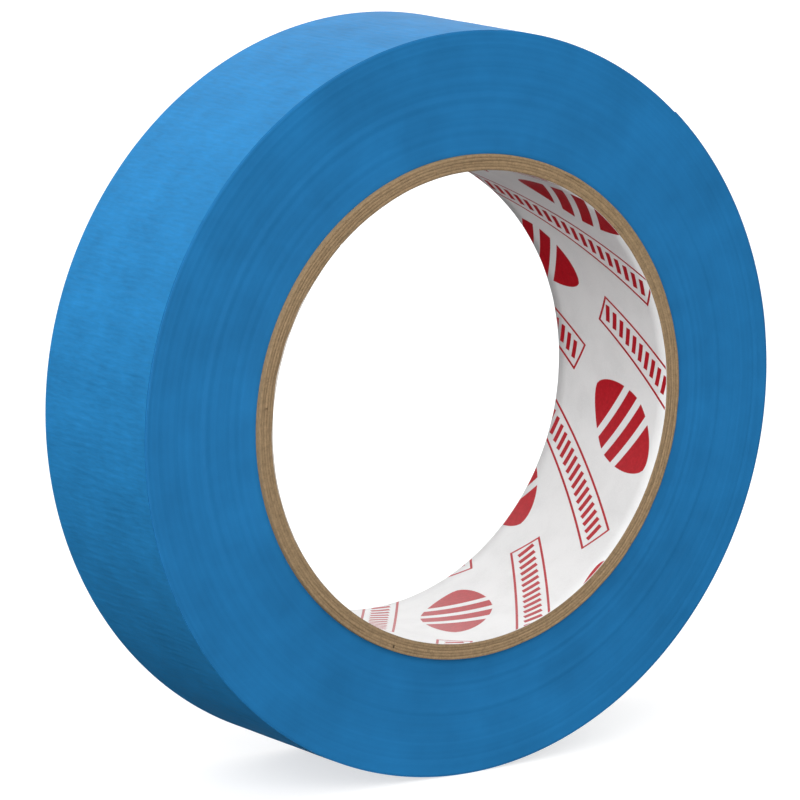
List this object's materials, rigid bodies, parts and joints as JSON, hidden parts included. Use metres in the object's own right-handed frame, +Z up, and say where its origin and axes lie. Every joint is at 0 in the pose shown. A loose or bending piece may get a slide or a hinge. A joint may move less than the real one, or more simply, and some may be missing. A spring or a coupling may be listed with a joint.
{
  "type": "masking tape roll",
  "caption": "Roll of blue crepe masking tape on a spirally wound paperboard core with a printed liner; the free end of the tape lifts and peels back for unwinding.",
  "frame": {"origin": "on the axis of the core's bore, half way along the width of the wound tape", "axes": "Y is the roll's axis, with its front face, where the core stands a little proud, towards -Y; +Z is up when the roll stands on its rim, and the tape's free end lies on the +X side"},
  "size_m": [0.1203, 0.032, 0.1203],
  "materials": {
    "crepe_paper": "matte",
    "adhesive": "satin",
    "liner_paper": "satin",
    "core_board": "matte"
  },
  "bodies": {
    "roll": {"core_liner": "liner_paper", "core_ply_1": "core_board", "core_ply_2": "core_board", "core_ply_3": "core_board", "core_ply_4": "core_board", "core_ply_5": "core_board", "tape_first_turn": "crepe_paper", "tape_wound": "crepe_paper", "outer_turn_adhesive": "adhesive", "outer_turn_backing": "crepe_paper"},
    "tail_1": {"tail_backing_1": "crepe_paper", "tail_adhesive_1": "adhesive"},
    "tail_2": {"tail_backing_2": "crepe_paper", "tail_adhesive_2": "adhesive"},
    "tail_3": {"tail_backing_3": "crepe_paper", "tail_adhesive_3": "adhesive"},
    "tail_4": {"tail_backing_4": "crepe_paper", "tail_adhesive_4": "adhesive"},
    "tail_5": {"tail_backing_5": "crepe_paper", "tail_adhesive_5": "adhesive"},
    "tail_6": {"tail_backing_6": "crepe_paper", "tail_adhesive_6": "adhesive"},
    "tail_7": {"tail_backing_7": "crepe_paper", "tail_adhesive_7": "adhesive"},
    "tail_8": {"tail_backing_8": "crepe_paper", "tail_adhesive_8": "adhesive"}
  },
  "joints": [
    {"name": "tail_peel", "type": "hinge", "parent": "roll", "child": "tail_1", "pos_m": [0.05997, 0, 0.00569], "axis": [0, 1, 0], "range_deg": [0, 40]},
    {"name": "tail_bend_2", "type": "hinge", "parent": "tail_1", "child": "tail_2", "pos_m": [0.05921, 0, 0.0111], "axis": [0, 1, 0], "range_deg": [0, 30]},
    {"name": "tail_bend_3", "type": "hinge", "parent": "tail_2", "child": "tail_3", "pos_m": [0.05796, 0, 0.01642], "axis": [0, 1, 0], "range_deg": [0, 20]},
    {"name": "tail_bend_4", "type": "hinge", "parent": "tail_3", "child": "tail_4", "pos_m": [0.05623, 0, 0.02161], "axis": [0, 1, 0], "range_deg": [0, 12]},
    {"name": "tail_bend_5", "type": "hinge", "parent": "tail_4", "child": "tail_5", "pos_m": [0.05404, 0, 0.02662], "axis": [0, 1, 0], "range_deg": [0, 5.2]},
    {"name": "tail_bend_6", "type": "hinge", "parent": "tail_5", "child": "tail_6", "pos_m": [0.05141, 0, 0.0314], "axis": [0, 1, 0], "range_deg": [0, 5.2]},
    {"name": "tail_bend_7", "type": "hinge", "parent": "tail_6", "child": "tail_7", "pos_m": [0.04836, 0, 0.03593], "axis": [0, 1, 0], "range_deg": [0, 5.2]},
    {"name": "tail_bend_8", "type": "hinge", "parent": "tail_7", "child": "tail_8", "pos_m": [0.0449, 0, 0.04017], "axis": [0, 1, 0], "range_deg": [0, 5.2]}
  ],
  "couplings": [
    {"joint": "tail_bend_2", "follows": "tail_peel", "ratio": 0.75},
    {"joint": "tail_bend_3", "follows": "tail_peel", "ratio": 0.5},
    {"joint": "tail_bend_4", "follows": "tail_peel", "ratio": 0.3},
    {"joint": "tail_bend_5", "follows": "tail_peel", "ratio": 0.13},
    {"joint": "tail_bend_6", "follows": "tail_peel", "ratio": 0.13},
    {"joint": "tail_bend_7", "follows": "tail_peel", "ratio": 0.13},
    {"joint": "tail_bend_8", "follows": "tail_peel", "ratio": 0.13}
  ]
}
